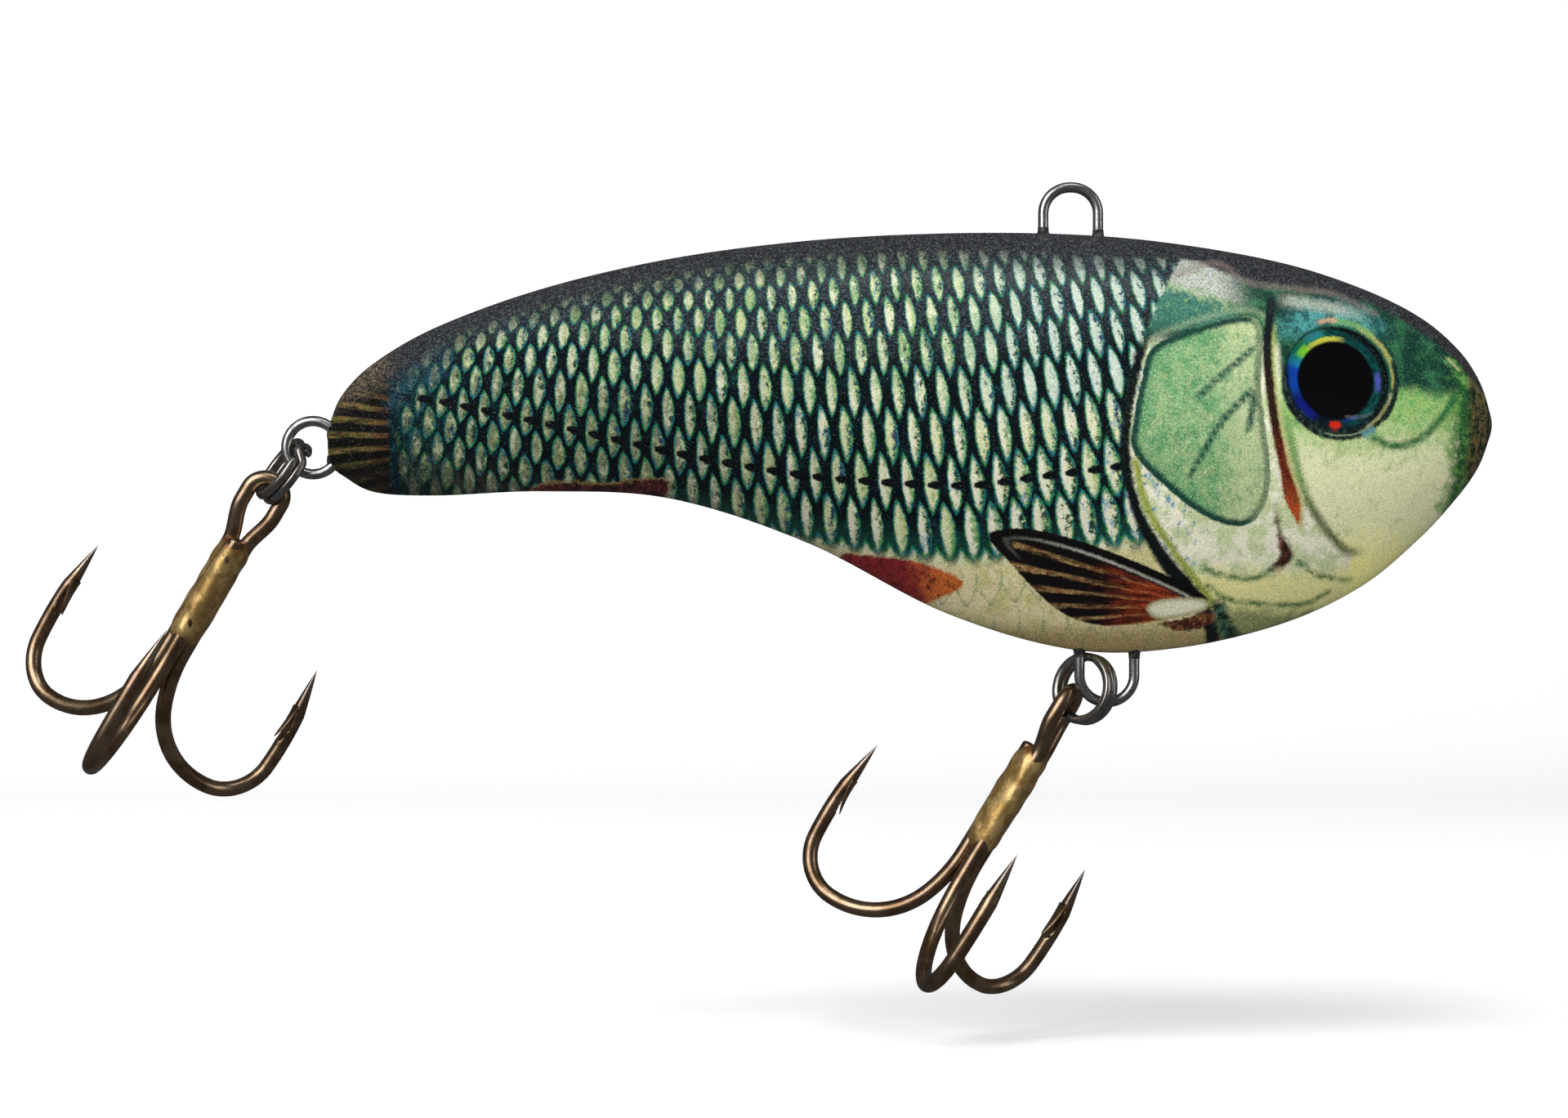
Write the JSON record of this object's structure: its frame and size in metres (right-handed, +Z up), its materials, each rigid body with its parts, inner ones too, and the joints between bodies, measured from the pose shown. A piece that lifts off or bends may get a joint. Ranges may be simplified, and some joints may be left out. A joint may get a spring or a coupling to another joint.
{
  "type": "crankbait lure",
  "caption": "Fish-shaped hard lure with a line tie on its back, rattle balls inside, and treble hooks hung on split rings under the belly and at the tail.",
  "frame": {"origin": "middle of the line tie's opening, on the plane where the half shells meet", "axes": "+X towards the nose, +Z up through the back, +Y to the fish's left"},
  "size_m": [0.1414, 0.0272, 0.079],
  "materials": {
    "printed_shell": "gloss lacquer over a printed fish-scale pattern",
    "stainless_wire": "drawn stainless wire, lacquered dark where it enters the body",
    "nickel_ring": "worn smoky nickel plate",
    "bronze_hook": "dark bronze finish, polished on the high spots",
    "braze_alloy": "rough cast brass with dark flux stains",
    "eye_foil": "iridescent foil",
    "eye_resin": "clear gloss resin",
    "lead_weight": "dull cast metal",
    "steel_ball": "polished"
  },
  "bodies": {
    "lure_body": {"body_shell_right": "printed_shell", "body_shell_left": "printed_shell", "line_tie_wire": "stainless_wire", "belly_hanger_wire": "stainless_wire", "tail_hanger_wire": "stainless_wire", "eye_iris_right": "eye_foil", "eye_iris_left": "eye_foil", "eye_lens_right": "eye_resin", "eye_lens_left": "eye_resin", "nose_ballast": "lead_weight", "belly_ballast": "lead_weight"},
    "belly_ring": {"belly_split_ring": "nickel_ring"},
    "tail_ring": {"tail_split_ring": "nickel_ring"},
    "belly_treble": {"belly_treble_double_hook": "bronze_hook", "belly_treble_single_hook": "bronze_hook", "belly_treble_braze": "braze_alloy"},
    "tail_treble": {"tail_treble_double_hook": "bronze_hook", "tail_treble_single_hook": "bronze_hook", "tail_treble_braze": "braze_alloy"},
    "front_ball": {"rattle_ball_front": "steel_ball"},
    "middle_ball": {"rattle_ball_middle": "steel_ball"},
    "rear_ball": {"rattle_ball_rear": "steel_ball"}
  },
  "joints": [
    {"name": "belly_ring_swing", "type": "hinge", "parent": "lure_body", "child": "belly_ring", "pos_m": [0.00188, 0, -0.04588], "axis": [1, 0, 0], "range_deg": [-80, 0]},
    {"name": "belly_treble_swing", "type": "hinge", "parent": "belly_ring", "child": "belly_treble", "pos_m": [-0.00044, 0.00203, -0.04718], "axis": [0.3707, -0.5756, -0.7289], "range_deg": [-30, 110]},
    {"name": "tail_ring_swing", "type": "hinge", "parent": "lure_body", "child": "tail_ring", "pos_m": [-0.07399, 0, -0.02375], "axis": [0.6077, 0, -0.7942], "range_deg": [-100, 20]},
    {"name": "tail_treble_swing", "type": "hinge", "parent": "tail_ring", "child": "tail_treble", "pos_m": [-0.0767, 0.00059, -0.02688], "axis": [0.3091, -0.9225, -0.2312], "range_deg": [-110, 80]},
    {"name": "front_ball_roll", "type": "slide", "parent": "lure_body", "child": "front_ball", "axis": [-1, 0, 0], "range_m": [0, 0.014]},
    {"name": "middle_ball_roll", "type": "slide", "parent": "lure_body", "child": "middle_ball", "axis": [-1, 0, 0], "range_m": [0, 0.014]},
    {"name": "rear_ball_roll", "type": "slide", "parent": "lure_body", "child": "rear_ball", "axis": [-1, 0, 0], "range_m": [0, 0.014]}
  ],
  "couplings": [
    {"joint": "middle_ball_roll", "follows": "front_ball_roll", "ratio": 1},
    {"joint": "rear_ball_roll", "follows": "front_ball_roll", "ratio": 1}
  ]
}
